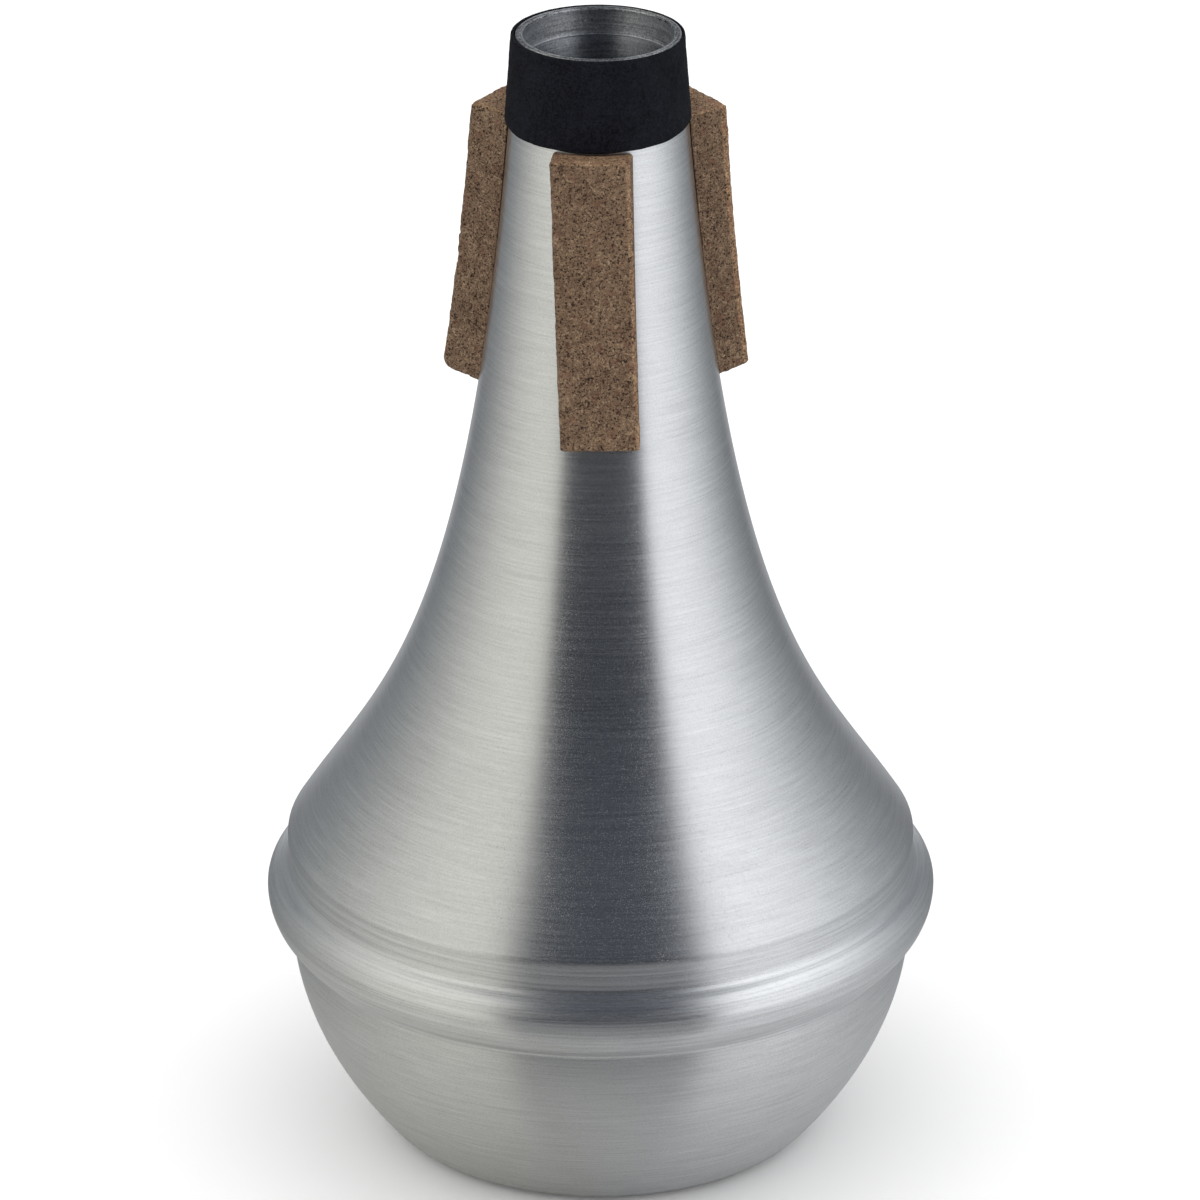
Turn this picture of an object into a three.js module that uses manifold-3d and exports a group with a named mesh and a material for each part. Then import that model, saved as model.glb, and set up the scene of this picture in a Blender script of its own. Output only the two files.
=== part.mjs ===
// Trumpet straight mute. A spun aluminium cone and a spun bowl are locked together by a
// rolled bead, a thin black sleeve grips the mouth, and three cork strips round the neck
// hold the mute in the bell.

import * as THREE from 'three';
import { mergeVertices } from 'three/addons/utils/BufferGeometryUtils.js';
import Module from 'manifold-3d';

const wasm = await Module();
wasm.setup();

// Driving dimensions, in millimetres. The mute stands on the flat of its bowl, at z = 0,
// and its axis is z. The front is towards -y.
const height = 173.5;
const mouthRadius = 12.05;
const beadRadius = 50.5;
const beadHeight = 38.3;
const footRadius = 29.7;

// Sheet metal. Drawing the neck down thickens the sheet towards the mouth.
const coneWall = 0.9;
const mouthWall = 1.9;
const bowlWall = 0.9;
const seamGap = 0.3;

// Mouth: a short bore, turned true, leaves a flat rim and a small step inside.
const rimWidth = 1.1;
const boreDepth = 4;

// Flare of the cone: the shares say how far each end keeps its direction.
const flareMouthAngle = THREE.MathUtils.degToRad(3.9);
const flareFootAngle = THREE.MathUtils.degToRad(32.9);
const flareMouthShare = 0.756;
const flareFootShare = 0.172;

// Shoulder and straight band above the bead.
const shoulderHeight = 46.7;
const shoulderInnerRound = 0.8;

// Rolled bead. Its rounds are named at the innermost surface, that of the bowl's rim, and
// each sheet and the gap between them are laid over it.
const beadProud = 3.2;
const beadCrownCore = 1.6;
const beadFlankCore = 6.9;
const beadFillet = 1.5;
const bowlInset = 0.45;
const bowlRimReach = 2;

// Bowl side and foot.
const bowlTopAngle = THREE.MathUtils.degToRad(3);
const bowlFootAngle = THREE.MathUtils.degToRad(40.3);
const bowlTopShare = 0.16;
const bowlFootShare = 0.467;
const knuckleInnerRound = 4.7;

// Black sleeve. Its lower edge is a little lower at the front.
const sleeveDepth = 12.6;
const sleeveThickness = 0.4;
const sleeveGap = 0.15;
const sleeveTilt = THREE.MathUtils.degToRad(4);

// Cork strips, measured down from the mouth to where their backs start and end.
const corkTopDepth = 14;
const corkBottomDepth = 56;
const corkWidth = 12;
const corkThickness = 5;
const corkGap = 0.3;
const corks = [
  { name: 'cork_front', turn: 268, lean: 2 },
  { name: 'cork_left', turn: 147, lean: 0 },
  { name: 'cork_right', turn: 32.5, lean: 0 },
];

// How far a cutting shape runs past what it cuts.
const overrun = 2;

// Faces round the axis, and steps along each kind of outline.
const sides = 60;
const flareSteps = 13;
const bowlSteps = 8;
const roundSteps = 4;
const smallRoundSteps = 2;
const corkSteps = 6;

// Lengths that follow from the driving dimensions.
const rimInnerRadius = mouthRadius - rimWidth;
const neckRadius = beadRadius - beadProud;
const bowlTopRadius = neckRadius - bowlInset;
const lipRadius = bowlTopRadius + seamGap;
const seamStack = coneWall + seamGap + bowlWall;
const crownRound = beadCrownCore + seamStack;
const flankRound = beadFlankCore + seamStack;
const shoulderRound = shoulderInnerRound + coneWall;
const knuckleRound = knuckleInnerRound + bowlWall;

const crownCentre = new THREE.Vector2(beadRadius - crownRound, beadHeight);
const flankCentre = new THREE.Vector2(beadRadius - flankRound, beadHeight);
const shoulderCentre = new THREE.Vector2(neckRadius - shoulderRound, shoulderHeight);
const knuckleCentre = new THREE.Vector2(footRadius, knuckleRound);

// The fillet between neck and bead touches the neck's side and the crown's round.
const filletCentre = new THREE.Vector2(neckRadius + beadFillet, beadHeight);
filletCentre.y += Math.sqrt(
  (crownRound + beadFillet) ** 2 - (filletCentre.x - crownCentre.x) ** 2,
);
const crownAngle = filletCentre.clone().sub(crownCentre).angle();

// Outlines are points (radius, height), which the lathe turns about the axis.
const aluminium = { color: 0xbfc2c4, roughness: 0.36, metalness: 1 };
const innerAluminium = { color: 0xb4b7b9, roughness: 0.42, metalness: 1 };
const blackSleeve = { color: 0x16181f, roughness: 0.9, metalness: 0 };
const corkBrown = { color: 0x7d6450, roughness: 0.95, metalness: 0 };

// Points on a round, from one angle to another, both measured from the outward direction.
function round(centre, radius, from, to, steps) {
  const points = [];
  for (let i = 0; i <= steps; i += 1) {
    const angle = from + ((to - from) * i) / steps;
    const reach = new THREE.Vector2(Math.cos(angle), Math.sin(angle)).multiplyScalar(radius);
    points.push(centre.clone().add(reach));
  }
  return points;
}

// A smooth curve that leaves its top at one angle from the vertical and meets its foot at another.
function bow(top, topDirection, topShare, foot, footDirection, footShare) {
  const rise = top.y - foot.y;
  const leave = top.clone().addScaledVector(topDirection, rise * topShare);
  const arrive = foot.clone().addScaledVector(footDirection, -rise * footShare);
  return new THREE.CubicBezierCurve(top, leave, arrive, foot);
}

// Points along a curve that runs downwards, each moved square to it: outwards if offset is positive.
function alongCurve(curve, from, to, steps, offset) {
  const points = [];
  for (let i = 0; i <= steps; i += 1) {
    const share = from + ((to - from) * i) / steps;
    const way = curve.getTangent(share);
    const outwards = new THREE.Vector2(-way.y, way.x);
    points.push(curve.getPoint(share).addScaledVector(outwards, offset(share)));
  }
  return points;
}

// The share of a downward curve at which it passes a height, found by halving.
function shareAtHeight(curve, level) {
  let high = 0;
  let low = 1;
  while (low - high > Number.EPSILON) {
    const middle = (high + low) / 2;
    if (middle === high || middle === low) break;
    if (curve.getPoint(middle).y > level) high = middle;
    else low = middle;
  }
  return high;
}

// Flare of the cone, from the mouth down to the shoulder.
const flareTop = new THREE.Vector2(mouthRadius, height);
const flareFoot = round(shoulderCentre, shoulderRound, flareFootAngle, flareFootAngle, 1)[0];
const flare = bow(
  flareTop,
  new THREE.Vector2(Math.tan(flareMouthAngle), -1),
  flareMouthShare,
  flareFoot,
  new THREE.Vector2(Math.tan(flareFootAngle), -1),
  flareFootShare,
);

// Angle at which a flank round, drawn in by depth, comes down to a radius.
function flankAngle(depth, radius) {
  return -Math.acos((radius - flankCentre.x) / (flankRound - depth));
}

// Height at which the bead's underside ends on the bowl.
const creaseHeight = beadHeight + flankRound * Math.sin(flankAngle(0, lipRadius));

// Side of the bowl, from the crease under the bead down to the knuckle.
const knuckleTop = round(knuckleCentre, knuckleRound, -bowlFootAngle, -bowlFootAngle, 1)[0];
const bowlSide = bow(
  new THREE.Vector2(bowlTopRadius, creaseHeight),
  new THREE.Vector2(-Math.tan(bowlTopAngle), -1),
  bowlTopShare,
  knuckleTop,
  new THREE.Vector2(-Math.tan(bowlFootAngle), -1),
  bowlFootShare,
);

// The bead's outline from the fillet to its end, drawn in by depth from the outer surface.
function beadOutline(depth, endRadius) {
  const fillet = round(filletCentre, beadFillet + depth, Math.PI, Math.PI + crownAngle, roundSteps);
  const crown = round(crownCentre, crownRound - depth, crownAngle, 0, roundSteps);
  const flank = round(flankCentre, flankRound - depth, 0, flankAngle(depth, endRadius), roundSteps);
  return [...fillet, ...crown.slice(1), ...flank.slice(1)];
}

// Turns an outline about the axis. A closed outline ends on its first point.
function spin(outline) {
  return new THREE.LatheGeometry(outline, sides).rotateX(Math.PI / 2);
}

// A closed geometry as a solid that can be cut.
function solid(geometry) {
  const bare = geometry.clone();
  bare.deleteAttribute('normal');
  bare.deleteAttribute('uv');
  const merged = mergeVertices(bare);
  return new wasm.Manifold(new wasm.Mesh({
    numProp: 3,
    vertProperties: new Float32Array(merged.attributes.position.array),
    triVerts: new Uint32Array(merged.index.array),
  }));
}

// A solid as a geometry again.
function surface(body) {
  const mesh = body.getMesh();
  const geometry = new THREE.BufferGeometry();
  geometry.setAttribute('position', new THREE.BufferAttribute(mesh.vertProperties, 3));
  geometry.setIndex(new THREE.BufferAttribute(mesh.triVerts, 1));
  geometry.computeVertexNormals();
  return geometry;
}

function piece(name, geometry, finish) {
  const mesh = new THREE.Mesh(geometry, new THREE.MeshStandardMaterial(finish));
  mesh.name = name;
  return mesh;
}

// Cone: flare, shoulder, straight band and the bead that is rolled over the bowl's rim. Its
// turned edge ends on the lip, square to the bowl's side.
function coneShell() {
  const outer = [
    ...alongCurve(flare, 0, 1, flareSteps, () => 0),
    ...round(shoulderCentre, shoulderRound, flareFootAngle, 0, smallRoundSteps).slice(1),
    ...beadOutline(0, lipRadius),
  ];
  const step = shareAtHeight(flare, height - boreDepth);
  const wall = (share) => -THREE.MathUtils.lerp(mouthWall, coneWall, share);
  const inner = [
    ...alongCurve(flare, step, 1, flareSteps, wall),
    ...round(shoulderCentre, shoulderInnerRound, flareFootAngle, 0, smallRoundSteps).slice(1),
    ...beadOutline(coneWall, lipRadius),
  ];
  const stepOut = new THREE.Vector2(rimInnerRadius, inner[0].y);
  const rim = new THREE.Vector2(rimInnerRadius, height);
  const outline = [rim, stepOut, ...inner, ...outer.reverse(), rim];
  return piece('cone_shell', spin(outline), aluminium);
}

// Bowl: flat foot, knuckle, side, and a rim that lies inside the cone's bead and reaches up
// inside its straight band.
function endBowl() {
  const outerDepth = coneWall + seamGap;
  const rimTop = filletCentre.y + bowlRimReach;
  const outer = [
    new THREE.Vector2(neckRadius - outerDepth, rimTop),
    ...beadOutline(outerDepth, bowlTopRadius),
    ...alongCurve(bowlSide, 0, 1, bowlSteps, () => 0),
    ...round(knuckleCentre, knuckleRound, -bowlFootAngle, -Math.PI / 2, roundSteps).slice(1),
    new THREE.Vector2(0, 0),
  ];
  const inner = [
    new THREE.Vector2(neckRadius - seamStack, rimTop),
    ...beadOutline(seamStack, bowlTopRadius - bowlWall),
    ...alongCurve(bowlSide, 0, 1, bowlSteps, () => -bowlWall),
    ...round(knuckleCentre, knuckleInnerRound, -bowlFootAngle, -Math.PI / 2, roundSteps).slice(1),
    new THREE.Vector2(0, bowlWall),
  ];
  return piece('end_bowl', spin([...outer.reverse(), ...inner]), innerAluminium);
}

// Sleeve: a thin tapered band round the mouth, cut off aslant below.
function neckSleeve() {
  const inner = [];
  const outer = [];
  const tallest = sleeveDepth + overrun;
  for (let i = 0; i <= smallRoundSteps; i += 1) {
    const level = height - (tallest * i) / smallRoundSteps;
    const metal = flare.getPoint(shareAtHeight(flare, level)).x;
    inner.push(new THREE.Vector2(metal + sleeveGap, level));
    outer.push(new THREE.Vector2(metal + sleeveGap + sleeveThickness, level));
  }
  const band = spin([...inner, ...outer.reverse(), inner[0]]);
  const block = new THREE.BoxGeometry(beadRadius, beadRadius, beadRadius);
  block.translate(0, 0, -beadRadius / 2);
  block.rotateX(sleeveTilt);
  block.translate(0, 0, height - sleeveDepth);
  return piece('neck_sleeve', surface(solid(band).subtract(solid(block))), blackSleeve);
}

// The cone's flare with the cork's clearance round it, which hollows the back of each cork.
function corkHollow() {
  const skin = alongCurve(flare, 0, 1, flareSteps, () => corkGap);
  const core = mouthRadius / 2;
  const top = new THREE.Vector2(core, skin[0].y);
  const foot = new THREE.Vector2(core, skin[flareSteps].y);
  return solid(spin([top, foot, ...skin.reverse(), top]));
}

// Cork: a straight-sided strip of even thickness, bent along the flare, its ends cut square.
function corkStrip({ name, turn, lean }, hollow) {
  const from = shareAtHeight(flare, height - corkTopDepth);
  const to = shareAtHeight(flare, height - corkBottomDepth);
  const back = alongCurve(flare, from, to, corkSteps, () => -overrun);
  const face = alongCurve(flare, from, to, corkSteps, () => corkGap + corkThickness);
  const strip = new THREE.ExtrudeGeometry(
    new THREE.Shape([...back, ...face.reverse()]),
    { depth: corkWidth, steps: 1, bevelEnabled: false },
  );
  const middle = height - (corkTopDepth + corkBottomDepth) / 2;
  strip.translate(0, -middle, -corkWidth / 2);
  strip.rotateX(Math.PI / 2 + THREE.MathUtils.degToRad(lean));
  strip.translate(0, 0, middle);
  strip.rotateZ(THREE.MathUtils.degToRad(turn));
  return piece(name, surface(solid(strip).subtract(hollow)), corkBrown);
}

const mute = new THREE.Group();
mute.add(coneShell());
mute.add(endBowl());
mute.add(neckSleeve());
const hollow = corkHollow();
for (const cork of corks) {
  mute.add(corkStrip(cork, hollow));
}

export default mute;
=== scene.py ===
# %% [markdown]
# # A trumpet straight mute, piece by piece
#
# The mute is a hollow aluminium cone closed by an aluminium bowl. A rolled bead locks the two
# sheets together, a thin black sleeve grips the mouth, and three cork strips on the neck wedge
# the mute in the bell of the trumpet.
#
# Its parts are already packed as a plain faceted model. That model is loaded first and never
# moved. Each of its pieces is then replaced, in the same place, by a finer surface with the
# finish of the real thing.

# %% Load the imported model
import bpy
import numpy as np
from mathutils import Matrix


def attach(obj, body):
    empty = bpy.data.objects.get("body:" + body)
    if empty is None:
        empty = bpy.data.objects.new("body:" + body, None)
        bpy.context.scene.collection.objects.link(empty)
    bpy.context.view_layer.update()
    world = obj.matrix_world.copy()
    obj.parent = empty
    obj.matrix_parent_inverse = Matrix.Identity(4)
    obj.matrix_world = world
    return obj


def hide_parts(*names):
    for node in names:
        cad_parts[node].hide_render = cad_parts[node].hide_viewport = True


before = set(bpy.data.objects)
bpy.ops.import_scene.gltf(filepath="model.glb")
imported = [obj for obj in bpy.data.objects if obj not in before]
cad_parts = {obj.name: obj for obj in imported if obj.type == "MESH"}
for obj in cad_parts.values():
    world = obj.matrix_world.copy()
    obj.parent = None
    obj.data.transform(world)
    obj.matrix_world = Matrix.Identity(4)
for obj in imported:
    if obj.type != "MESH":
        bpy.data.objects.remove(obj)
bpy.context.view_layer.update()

print("pieces to dress:", ", ".join(sorted(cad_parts)))

# %% [markdown]
# ## The camera
#
# A long lens far away keeps the sides of the mute nearly parallel, as in a catalogue picture.
# The camera stands about a metre in front and looks down by 24 degrees, so that both the mouth
# and the bowl show.

# %% Place the camera
camera_data = bpy.data.cameras.new("camera")
camera_data.lens = 212.39
camera_data.sensor_width = 36.0
camera_data.clip_start = 0.05
camera = bpy.data.objects.new("camera", camera_data)
camera.rotation_mode = "ZYX"
camera.location = (0.0, -0.96557, 0.51305)
camera.rotation_euler = (np.radians(66.046), 0.0, -0.00244)
bpy.context.scene.collection.objects.link(camera)
bpy.context.scene.camera = camera
print("camera", round(camera.location.length, 3), "m from the foot of the mute")

# %% [markdown]
# ## The measures of the mute
#
# Shapes are worked out in millimetres, as a maker would write them down, and become metres only
# when a mesh is made. The mute stands at height 0 and its axis is z. The front is towards -y.

# %% Write down the measures
MM = 0.001
height = 173.5
mouth_radius, rim_width, bore_depth = 12.05, 1.1, 4.0
bead_radius, bead_height, bead_proud = 50.5, 38.3, 3.2
foot_radius, shoulder_height = 29.7, 46.7
cone_wall, mouth_wall, bowl_wall, seam_gap = 0.9, 1.9, 0.9, 0.3
bowl_setback, lip_gap, rim_rise = 0.40, 0.05, 2.0
band_radius = bead_radius - bead_proud
bowl_top_radius = band_radius - bowl_setback
lip_radius = bowl_top_radius + lip_gap
rim_inner_radius = mouth_radius - rim_width
crown_round, flank_round, bead_fillet, lip_round = 3.7, 7.5, 1.5, 1.1
shoulder_round, knuckle_round = 1.7, 5.6
flare_angle, bowl_angle = np.radians(32.9), np.radians(40.3)
mouth_lean, bowl_lean = np.radians(3.9), np.radians(-3.6)
crown_centre = np.array([bead_radius - crown_round, bead_height])
flank_centre = np.array([bead_radius - flank_round, bead_height])
shoulder_centre = np.array([band_radius - shoulder_round, shoulder_height])
knuckle_centre = np.array([foot_radius, knuckle_round])
print("height", height, "mm, width across the bead", 2 * bead_radius, "mm")

# %% [markdown]
# ## Outlines
#
# Spun metal is a sheet pressed over a turning form, so one outline, as pairs of radius and
# height, says everything about its shape. It is put together from arcs and from smooth bows.
# The same outline moved square to itself gives the other face of the sheet.

# %% Draw arcs and bows
def arc(centre, radius, start, end, steps):
    """Points on a circle: centre + radius * (cos a, sin a), for angles a from start to end."""
    angle = np.linspace(start, end, steps + 1)[:, None]
    return centre + radius * np.hstack([np.cos(angle), np.sin(angle)])


def bow(top, top_lean, top_share, foot, foot_lean, foot_share, steps):
    """A cubic curve from top to foot and its outward normals.

    With share u running from 0 to 1 the point is (1-u)^3 top + 3u(1-u)^2 leave
    + 3u^2(1-u) arrive + u^3 foot. The two handles lie on the end directions, at a share of the
    rise. The normal is the direction of travel turned a quarter to the outside.
    """
    rise = top[1] - foot[1]
    leave = top + rise * top_share * np.array([np.tan(top_lean), -1.0])
    arrive = foot - rise * foot_share * np.array([np.tan(foot_lean), -1.0])
    u = np.linspace(0.0, 1.0, steps + 1)[:, None]
    v = 1.0 - u
    points = v**3 * top + 3 * u * v**2 * leave + 3 * u**2 * v * arrive + u**3 * foot
    travel = v**2 * (leave - top) + 2 * u * v * (arrive - leave) + u**2 * (foot - arrive)
    travel /= np.linalg.norm(travel, axis=1, keepdims=True)
    return points, np.column_stack([-travel[:, 1], travel[:, 0]])


def joined(*parts):
    """One outline from several.

    A further part is taken without its first point, which repeats the end of the part before
    or lies beside it. A part of one point is taken whole.
    """
    first, *rest = [np.asarray(part, float).reshape(-1, 2) for part in parts]
    return np.vstack([first] + [part[1:] if len(part) > 1 else part for part in rest])


flare_top = np.array([mouth_radius, height])
flare_foot = arc(shoulder_centre, shoulder_round, flare_angle, flare_angle, 1)[0]
mouth_pull, shoulder_pull = 0.756, 0.172


def flare(steps):
    """The outer bow of the cone, from the mouth to the shoulder."""
    return bow(
        flare_top, mouth_lean, mouth_pull, flare_foot, flare_angle, shoulder_pull, steps,
    )


def flare_radius(level):
    """Radius of the cone's outer face at a height, read from a fine bow."""
    points = flare(800)[0][::-1]
    return np.interp(level, points[:, 1], points[:, 0])


print("radius of the neck 14 mm below the mouth:", round(float(flare_radius(height - 14)), 2))

# %% [markdown]
# ## The bead
#
# Where the sheets are rolled together the metal swells out into a bead. From the straight band
# it turns outwards in a small hollow, rounds the crown and comes back under the widest point
# to the side of the bowl, where its lip is burnished down until it lies flat on the bowl. Both
# sheets follow the bead, so it is drawn at any depth below the surface.

# %% Draw the bead
hollow_centre = np.array([band_radius + bead_fillet, bead_height])
hollow_centre[1] += np.sqrt(
    (crown_round + bead_fillet) ** 2 - (hollow_centre[0] - crown_centre[0]) ** 2
)
crown_angle = np.arctan2(*(hollow_centre - crown_centre)[::-1])


def bead(depth, end_radius, steps):
    """Hollow, crown and flank of the bead, each arc drawn in by depth, down to end_radius."""
    end = -np.arccos((end_radius - flank_centre[0]) / (flank_round - depth))
    hollow = arc(hollow_centre, bead_fillet + depth, np.pi, np.pi + crown_angle, steps)
    crown = arc(crown_centre, crown_round - depth, crown_angle, 0.0, 2 * steps)
    flank = arc(flank_centre, flank_round - depth, 0.0, end, 2 * steps)
    return joined(hollow, crown, flank)


print("the bead turns out of the band at height", round(float(hollow_centre[1]), 2), "mm")

# %% [markdown]
# The lip is a hollow arc that touches the flank above and an upright line beside the bowl below.
# Its centre is one radius outside that line, and flank_round + lip_round away from the centre of
# the flank, so that one square root finds it.

# %% Draw the burnished lip
lip_centre = np.array([lip_radius + lip_round, bead_height])
lip_reach = flank_round + lip_round
lip_centre[1] -= np.sqrt(lip_reach**2 - (lip_centre[0] - flank_centre[0]) ** 2)
lip_start = np.arctan2(*(flank_centre - lip_centre)[::-1])
flank_end = flank_centre[0] + flank_round * (lip_centre[0] - flank_centre[0]) / lip_reach
lip = arc(lip_centre, lip_round, lip_start, np.pi, 10)
crease_height = lip[-1, 1]
print("the lip meets the bowl at height", round(crease_height, 2), "mm")

# %% [markdown]
# ## From outline to mesh
#
# Blender could turn an outline with its Screw or Spin tools, but a grid of points worked out at
# once keeps every ring exact and leaves no seam. Each ring of the grid is one turn about the
# axis. The length run along the outline is kept on every point, because the brushed finish
# needs to know how far down the metal it is.

# %% Make meshes from grids of points
def mesh_piece(name, points, faces, **fields):
    """A smooth mesh object from points in millimetres and faces.

    Each field is a number for every point. The mesh keeps it, and a shader can read it.
    """
    mesh = bpy.data.meshes.new(name)
    mesh.from_pydata((points * MM).tolist(), [], faces)
    for field, values in fields.items():
        store = mesh.attributes.new(field, "FLOAT", "POINT")
        store.data.foreach_set("value", np.asarray(values, np.float32).ravel())
    mesh.shade_smooth()
    mesh.validate()
    piece = bpy.data.objects.new(name, mesh)
    bpy.context.scene.collection.objects.link(piece)
    print(name, len(points), "points,", len(faces), "faces")
    return piece


def grid_faces(rings, turn, loops_back):
    """Four-sided faces between neighbouring rings of a grid that closes round each ring.

    Point (i, j) has number i * turn + j. The last ring joins the first if loops_back.
    """
    i = np.arange(rings if loops_back else rings - 1)[:, None]
    j = np.arange(turn)[None, :]
    here, below = i * turn, (i + 1) % rings * turn
    right = (j + 1) % turn
    return np.stack([here + j, below + j, below + right, here + right], -1).reshape(-1, 4)


def run_length(outline):
    """Distance along an outline from its first point to each of its points."""
    return np.concatenate([[0.0], np.cumsum(np.hypot(*np.diff(outline, axis=0).T))])


def turned(name, outline, turn=256, stain=None):
    """A surface of revolution: x = radius * cos a, y = radius * sin a, z = height.

    The outline runs so that metal lies to its right, with radius drawn to the right and height
    up. Where it starts and ends on the axis the surface closes there in a fan of triangles, and
    otherwise the outline closes on itself.
    """
    closed = outline[0, 0] > 0.0
    angle = np.arange(turn) * 2 * np.pi / turn
    body = outline if closed else outline[1:-1]
    x = body[:, :1] * np.cos(angle)
    y = body[:, :1] * np.sin(angle)
    z = np.broadcast_to(body[:, 1:], x.shape)
    points = np.stack([x, y, z], -1).reshape(-1, 3)
    faces = grid_faces(len(body), turn, closed).tolist()
    fields = {"run": run_length(outline) * MM}
    fields["stain"] = np.zeros(len(outline)) if stain is None else stain
    spread = {key: np.repeat(v if closed else v[1:-1], turn) for key, v in fields.items()}
    if not closed:
        j = np.arange(turn)
        k = (j + 1) % turn
        top, bottom = len(points), len(points) + 1
        last = (len(body) - 1) * turn
        faces += np.stack([np.full(turn, top), j, k], -1).tolist()
        faces += np.stack([np.full(turn, bottom), last + k, last + j], -1).tolist()
        points = np.vstack([points, [0, 0, outline[0, 1]], [0, 0, outline[-1, 1]]])
        spread = {key: np.append(spread[key], v[[0, -1]]) for key, v in fields.items()}
    return mesh_piece(name, points, faces, **spread)

# %% [markdown]
# ## The cone
#
# The cone is the mouth, the flare, the shoulder, the straight band and the outer half of the
# bead. The spinner's roller leaves shallow grooves on the band and on the crown, which catch
# the light as fine rings. They are real dips in the outline, each a bell curve a few tenths of
# a millimetre wide, and a very slight ripple lies under them.

# %% Groove the band and the bead
def grooved(outline, grooves, ripple):
    """Moves the points of an outline inwards by bell curves and a sum of slow waves.

    Each groove is (place along the outline, half width, depth, darkening), and dips by
    depth * exp(-((run - place) / width)^2). The ripple is a mean of three sines. All of it
    fades out over fade_length at both ends. The second result is how much darker the metal is
    made along the grooves, the largest of the same bells.
    """
    run = run_length(outline)
    way = np.gradient(outline, run, axis=0)
    normal = np.column_stack([-way[:, 1], way[:, 0]])
    normal /= np.linalg.norm(normal, axis=1, keepdims=True)
    place, width, depth, stain = np.array(grooves).T
    bells = np.exp(-(((run[:, None] - place) / width) ** 2))
    pace, shift, fade_length = np.array([4.1, 6.7, 10.3]), np.array([0.4, 2.1, 4.4]), 0.8
    waves = np.sin(run[:, None] * pace + shift).mean(1)
    fade = np.clip(np.minimum(run, run[-1] - run) / fade_length, 0.0, 1.0)
    moved = outline - normal * (((bells * depth).sum(1) + ripple * waves) * fade)[:, None]
    return moved, (bells * stain).max(1)


band_levels = np.linspace(shoulder_height, hollow_centre[1], 56)
band = np.column_stack([np.full(len(band_levels), band_radius), band_levels])
# The last number of each groove says how much darker the metal is made along it.
spun_grooves = [
    (0.75, 0.2, 0.012, 0.10), (1.6, 0.22, 0.024, 0.30), (3.1, 0.2, 0.028, 0.30),
    (4.3, 0.08, 0.030, 0.75), (4.9, 0.1, 0.015, 0.15), (5.75, 0.12, 0.016, 0.20),
    (6.85, 0.10, 0.008, 0.12), (7.2, 0.13, 0.010, 0.30), (7.68, 0.15, 0.030, 0.45),
    (8.5, 0.09, 0.006, 0.15), (8.85, 0.12, 0.016, 0.25), (9.4, 0.09, 0.006, 0.15),
    (9.85, 0.12, 0.012, 0.20), (10.6, 0.2, 0.010, 0.25), (11.5, 0.12, 0.008, 0.15),
    (12.6, 0.3, 0.012, 0.15), (13.9, 0.2, 0.010, 0.15),
]
bead_outside, bead_groove_dark = grooved(
    joined(band, bead(0.0, flank_end, 30), lip), spun_grooves, ripple=0.006,
)
print("the grooved stretch is", round(run_length(bead_outside)[-1], 1), "mm long")

# %% [markdown]
# The cone is one closed outline: down the outside, round the lip, up the lining, over the step
# into the short bore and round the rim. Its wall is drawn thickest at the mouth, where a broad
# rim shows, and its thickness below is a guess. The rounded rim takes the place of the first
# points of the flare.

# %% Turn the cone
flare_points, flare_normals = flare(90)
outer = joined(
    flare_points,
    arc(shoulder_centre, shoulder_round, flare_angle, 0.0, 10),
    bead_outside,
)
share = np.linspace(0.0, 1.0, len(flare_points))[:, None]
wall = mouth_wall + (cone_wall - mouth_wall) * share
lining = flare_points - flare_normals * wall
step_height = height - bore_depth
step_radius = np.interp(step_height, lining[::-1, 1], lining[::-1, 0])
inner = joined(
    [[step_radius, step_height]],
    lining[lining[:, 1] < step_height - 0.1][::-2][::-1],
    arc(shoulder_centre, shoulder_round - cone_wall, flare_angle, 0.0, 4),
    bead(cone_wall, lip_radius, 8),
)
edge = 0.22
rim = joined(
    arc(np.array([mouth_radius - edge, height - edge]), edge, np.radians(4), np.pi / 2, 5),
    arc(np.array([rim_inner_radius + edge, height - edge]), edge, np.pi / 2, np.pi, 5),
)
bore_levels = np.linspace(height - edge, step_height + 0.06, 6)
bore = np.column_stack([np.full(len(bore_levels), rim_inner_radius), bore_levels])
nick, bevel = 0.02, 0.08
ledge = np.array([
    [rim_inner_radius - nick, step_height + nick],
    [rim_inner_radius - bevel, step_height],
    [step_radius + bevel, step_height],
    [step_radius + nick, step_height - 0.03],
])
outside = outer[3:]
cone_outline = np.vstack([
    outside, inner[1:][::-1], ledge[::-1], bore[::-1], rim[:-1][::-1],
])
cone_groove_dark = np.zeros(len(cone_outline))
cone_groove_dark[len(outside) - len(bead_groove_dark) + 1:len(outside)] = bead_groove_dark[1:]
cone = turned("cone_metal", cone_outline, 224, cone_groove_dark)
cone_run = run_length(cone_outline)
band_start = cone_run[np.argmin(np.hypot(*(cone_outline - [band_radius, shoulder_height]).T))]
inside_start = cone_run[len(outside)]
rim_start = cone_run[-1] - run_length(rim)[-1] - 0.1
bore_start = rim_start - run_length(bore)[-1]
print("run to the band", round(band_start, 1), "to the lip", round(inside_start, 1), "mm")
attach(cone, "root")
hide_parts("cone_shell")

# %% [markdown]
# ## The bowl
#
# The bowl is a second spinning. Only its side shows, from the crease under the bead down to the
# knuckle that it rests on, but it also has the flat foot and the rim that is caught in the bead.

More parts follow.
